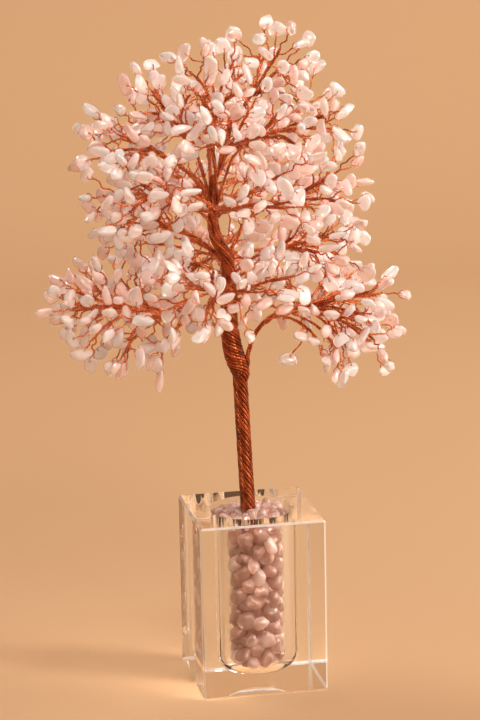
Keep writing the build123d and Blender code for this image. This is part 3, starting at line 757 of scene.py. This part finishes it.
def make_limb(name, limb, radius, draw, trunk):
    """The limb's cable. It comes out of the trunk's winding and bends at its root."""
    pile = Pile()
    low = int(np.linalg.norm(trunk - limb[0], axis=1).argmin())
    reached = distances_along(trunk)[low]
    ahead = unit(trunk[min(low + 1, len(trunk) - 1)] - trunk[low - 1])
    outward = limb[0] - trunk[low]
    outward = outward - ahead * (outward @ ahead)
    lead = []
    for back, pull in ((1.0, 0.1), (0.62, 0.3), (0.25, 0.76)):
        place = at_distances(trunk, [reached - back * limb_run_in])[0]
        lead.append(place + outward * pull)
    line = smoothed(lead + list(limb[::4]) + [limb[-1]], wire_step)
    pairs = 3 if radius < thin_limb else 4 if radius < middle_limb else 5
    spread = radius * limb_spread_share * np.linspace(1.05, 0.75, len(line))
    add_cable(pile, line, pairs, spread, limb_pitch, draw, wire_radius * limb_wire_share)
    # A core wire inside the pairs, in a dark tint (0.1): painted shade in the gaps between them.
    add_wire(pile, line[::4], (spread * 0.7)[::4], 6, 0.1)
    piece = pile.make(f"{name}_cable", wire_copper, "copper", f"{name}_limb")
    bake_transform(piece)


def trunk_line():
    """The middle of the stem and trunk, and the radius along it."""
    rows = []
    for node in ("stem_sleeve", "trunk"):
        rows += level_cuts(*loose_solids(node)[0])
    rows = np.array(rows)
    line = smoothed(rows[:, :3], trunk_step)
    return line, np.interp(line[:, 2], rows[:, 2], rows[:, 3])


def make_trunk(line, radii):
    """Wires wound round the stem and trunk: steep where it is thin, flatter where it swells."""
    pile = Pile()
    side, other = carried_frames(line)
    half_gap = math.sin(math.pi / trunk_strands)
    wires = np.minimum(trunk_wire, radii * half_gap / (1 + half_gap))
    offsets = radii - wires
    leans = np.arccos(np.clip(wires / (offsets * half_gap), 0.3, 0.96))
    steps = np.diff(distances_along(line))
    turns = np.concatenate([[0], np.cumsum(steps * (np.tan(leans) / offsets)[:-1])])
    draw = random.Random("trunk")
    places = np.arange(len(line))
    for strand in range(trunk_strands):
        angle = (full_turn * strand / trunk_strands - turns)[:, None]
        swing = side * np.cos(angle) + other * np.sin(angle)
        uneven = 1 + 0.02 * np.sin(places * draw.uniform(0.03, 0.07) + draw.uniform(0, full_turn))
        lane = line + swing * (offsets * uneven)[:, None]
        add_wire(pile, lane, wires * 1.03, 10, draw.random())
    # A core wire inside the strands, in a dark tint (0.1): painted shade in the gaps between the wound
    # wires.
    add_wire(pile, line[::3], (offsets * 0.85)[::3], 16, 0.1)
    replaced = ("stem_core", "stem_sleeve", "trunk")
    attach(pile.make("wound_trunk", shaded_trunk_copper, "copper", *replaced), "tree")


# The block and what it holds
def lathe(profile, sides):
    """A closed solid from a profile of (radius, height), which starts and ends on the axis."""
    rings = len(profile) - 2
    points = [(0, 0, profile[0][1])]
    for radius, height in profile[1:-1]:
        for step in range(sides):
            angle = full_turn * step / sides
            points.append((radius * math.cos(angle), radius * math.sin(angle), height))
    points.append((0, 0, profile[-1][1]))
    faces = []
    for step in range(sides):
        after = (step + 1) % sides
        faces.append((0, 1 + after, 1 + step))
        for ring in range(rings - 1):
            low, high = 1 + ring * sides, 1 + (ring + 1) * sides
            faces.append((low + step, low + after, high + after, high + step))
        last = 1 + (rings - 1) * sides
        faces.append((last + step, last + after, len(points) - 1))
    return np.array(points), faces


def make_block():
    low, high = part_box("glass_block")
    bpy.ops.mesh.primitive_cube_add(size=1)
    cube = bpy.context.object
    cube.data.transform(Matrix.Diagonal((*(high - low), 1)))
    cube.data.transform(Matrix.Translation((low + high) / 2))
    bevel = cube.modifiers.new("bevel", "BEVEL")
    bevel.width = block_bevel
    bevel.segments = 1
    bevel.limit_method = "NONE"
    bpy.ops.object.modifier_apply(modifier=bevel.name)
    top = high.z
    flat = bore_radius - bore_floor_radius
    profile = [(0, bore_floor), (flat / 2, bore_floor), (flat, bore_floor)]
    for step in range(1, 17):
        angle = step / 16 * math.pi / 2
        profile.append((
            flat + bore_floor_radius * math.sin(angle),
            bore_floor + bore_floor_radius * (1 - math.cos(angle)),
        ))
    wide = bore_radius + rim_bevel
    profile += [(bore_radius, top - rim_bevel), (wide, top), (wide, top + rim_bevel), (0, top + rim_bevel)]
    mesh = cut(cube, new_mesh_object("bore", *lathe(profile, bore_sides)))
    mesh.materials.clear()
    mesh.materials.append(crystal)
    mesh.polygons.foreach_set("use_smooth", np.ones(len(mesh.polygons), bool))
    mesh.set_sharp_from_angle(angle=math.radians(25))
    # Painted highlight: flag the bevel faces, which the crystal paints partly white as bright edge lines.
    painted_edge_glint = mesh.attributes.new("painted_edge_glint", "FLOAT", "FACE")
    inner = (high - low) / 2 - Vector((1, 1, 1)) * block_bevel
    edges = []
    for face in mesh.polygons:
        away = face.center - (low + high) / 2
        edges.append(float(sum(abs(away[axis]) > inner[axis] for axis in range(3)) > 1))
    painted_edge_glint.data.foreach_set("value", edges)
    block = bpy.data.objects.new("crystal_block", mesh)
    bpy.context.scene.collection.objects.link(block)
    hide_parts("glass_block")
    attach(block, "base")
    return top


def kept_in_bore(shape, stem, stem_radius, top):
    """A loose chip's points, pressed back inside the bore and off the stem."""
    ahead = unit(stem[10] - stem[0])
    arm = shape - stem[0]
    out = arm - np.outer(arm @ ahead, ahead)
    away = np.linalg.norm(out, axis=1)
    shape = shape + out / away[:, None] * np.maximum(stem_radius + stem_gap - away, 0)[:, None]
    off_axis = np.linalg.norm(shape[:, :2], axis=1)
    shape[:, :2] *= np.minimum(1, (bore_radius - bore_wall_gap) / off_axis)[:, None]
    inner = bore_floor_radius - bore_wall_gap
    off_axis = np.linalg.norm(shape[:, :2], axis=1)
    curve = np.clip(off_axis - (bore_radius - bore_floor_radius), 0, inner)
    floor = bore_floor + bore_floor_radius - np.sqrt(inner ** 2 - curve ** 2)
    shape[:, 2] = np.clip(shape[:, 2], floor, top + fill_heap)
    return shape


def heap_spots(draw, top):
    """Middles of the small chips that level the heap at the rim."""
    spots = []
    for number in range(heap_chips):
        away = heap_reach * math.sqrt((number + 0.5) / heap_chips)
        angle = number * golden_turn
        height = top - draw.uniform(0.3, 1.1) * heap_chip
        spots.append(np.array([away * math.cos(angle), away * math.sin(angle), height]))
    return spots


def make_fill(name, stem, stem_radius, top):
    """Jumbled tumbled chips in place of one band of the fill."""
    pile = Pile()
    draw = random.Random(name)
    fill_ball = ball_mesh(fill_side)
    # Painted light and shade: the CAD fill chips take tint 0.45 and the heap chips at the top a paler
    # 0.85, so the top of the fill is painted lighter than the chips below it.
    chips = []
    for points, _ in loose_solids(name):
        centre = middle_of(points)
        chips.append((centre, np.linalg.norm(points - centre, axis=1).max() * fill_size_share, 0.45))
    if name == "fill_top":
        chips += [(spot, heap_chip * draw.uniform(0.85, 1.1), 0.85) for spot in heap_spots(draw, top)]
    for centre, size, tint in chips:
        half = size * np.array([1.05, draw.uniform(0.78, 1.0), draw.uniform(0.6, 0.9)])
        turn = np.linalg.svd(np.array([[draw.gauss(0, 1) for _ in range(3)] for _ in range(3)]))[0]
        if np.linalg.det(turn) < 0:
            turn[:, 0] *= -1
        shape = stone_shape(fill_ball, draw, half) @ turn.T + centre
        shape = kept_in_bore(shape, stem, stem_radius, top)
        pile.add(shape, [fill_ball[1]], min(max(draw.gauss(tint, 0.2), 0), 1))
    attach(pile.make(f"{name}_stones", shaded_fill_quartz, "quartz", name), "base")


top = make_block()
trunk, trunk_radii = trunk_line()
make_trunk(trunk, trunk_radii)
for band in ("fill_bottom", "fill_lower", "fill_upper", "fill_top"):
    make_fill(band, trunk, float(trunk_radii[0]), top)
for bough in boughs:
    make_limb(bough, *make_bough(bough), trunk)


# Stage, lamps and camera
pale = (0.54, 0.32, 0.165)
warm = (1.0, 0.95, 0.9)
sky = (1.0, 0.86, 0.72)
far_stage = (0.66, 0.37, 0.18)
world_light = 0.37
stage_width = 6.0
stage_front = -3.0
stage_back = 0.75
stage_curve = 0.35
stage_height = 0.9
stage_drop = 0.0003
tree_middle = (0, 0, 0.15)
crown_middle = (0, 0, 0.18)


def make_stage():
    """A floor that sweeps up behind the tree, clear from behind so that the tree's back shows."""
    rows = [(stage_front, 0)]
    for step in range(13):
        angle = step / 12 * math.pi / 2
        rows.append((stage_back + stage_curve * math.sin(angle), stage_curve * (1 - math.cos(angle))))
    rows.append((stage_back + stage_curve, stage_height))
    points = [(side * stage_width / 2, y, z - stage_drop) for y, z in rows for side in (-1, 1)]
    faces = [(2 * row, 2 * row + 1, 2 * row + 3, 2 * row + 2) for row in range(len(rows) - 1)]
    stage = new_mesh_object("stage", np.array(points), faces)
    stage.data.polygons.foreach_set("use_smooth", np.ones(len(faces), bool))
    material, tree, shader = new_material("stage")
    shader.inputs["Base Color"].default_value = (*pale, 1)
    shader.inputs["Roughness"].default_value = 0.8
    side = tree.nodes.new("ShaderNodeNewGeometry")
    mix_in_clear(tree, shader, side.outputs["Backfacing"], (1, 1, 1))
    stage.data.materials.append(material)


def make_world():
    """Even soft light, with the colour of the lit stage where the camera or glass sees past it."""
    world = bpy.data.worlds.new("world")
    bpy.context.scene.world = world
    world.use_nodes = True
    tree = world.node_tree
    light = next(node for node in tree.nodes if node.type == "BACKGROUND")
    light.inputs[0].default_value = (*sky, 1)
    light.inputs[1].default_value = world_light
    seen = tree.nodes.new("ShaderNodeBackground")
    seen.inputs[0].default_value = (*far_stage, 1)
    path = tree.nodes.new("ShaderNodeLightPath")
    either = tree.nodes.new("ShaderNodeMath")
    either.operation = "MAXIMUM"
    mix = tree.nodes.new("ShaderNodeMixShader")
    output = next(node for node in tree.nodes if node.type == "OUTPUT_WORLD")
    tree.links.new(path.outputs["Is Camera Ray"], either.inputs[0])
    tree.links.new(path.outputs["Is Transmission Ray"], either.inputs[1])
    tree.links.new(either.outputs[0], mix.inputs[0])
    tree.links.new(light.outputs[0], mix.inputs[1])
    tree.links.new(seen.outputs[0], mix.inputs[2])
    tree.links.new(mix.outputs[0], output.inputs[0])


def make_lamp(name, place, target, size, power):
    lamp = bpy.data.lights.new(name, "AREA")
    lamp.size = size
    lamp.energy = power
    lamp.color = warm
    holder = bpy.data.objects.new(name, lamp)
    holder.location = place
    holder.rotation_euler = (Vector(target) - Vector(place)).to_track_quat("-Z", "Y").to_euler()
    bpy.context.scene.collection.objects.link(holder)


def make_camera():
    yaw, pitch, roll = (math.radians(v) for v in (camera_yaw, camera_pitch, camera_roll))
    ahead = Vector((math.sin(yaw) * math.cos(pitch), math.cos(yaw) * math.cos(pitch), -math.sin(pitch)))
    right = Vector((math.cos(yaw), -math.sin(yaw), 0))
    up = right.cross(ahead)
    across = math.cos(roll) * right + math.sin(roll) * up
    upward = -math.sin(roll) * right + math.cos(roll) * up
    data = bpy.data.cameras.new("camera")
    data.sensor_fit = "HORIZONTAL"
    data.sensor_width = sensor_width
    data.lens = focal_pixels * sensor_width / frame_pixels
    data.clip_end = 50
    camera = bpy.data.objects.new("camera", data)
    turn = Matrix((across, upward, -ahead)).transposed().to_4x4()
    camera.matrix_world = Matrix.Translation(camera_place) @ turn
    bpy.context.scene.collection.objects.link(camera)
    bpy.context.scene.camera = camera


make_stage()
make_world()
make_camera()
make_lamp("key", (1.3, -0.7, 1.2), tree_middle, 0.3, 22)
make_lamp("side", (1.3, 0.0, 0.45), tree_middle, 0.7, 8)
make_lamp("rim", (-0.3, 0.65, 1.5), crown_middle, 0.35, 9)
make_lamp("front", (0.3, -1.7, 1.5), tree_middle, 0.5, 12)
bpy.context.scene.view_settings.view_transform = "Standard"
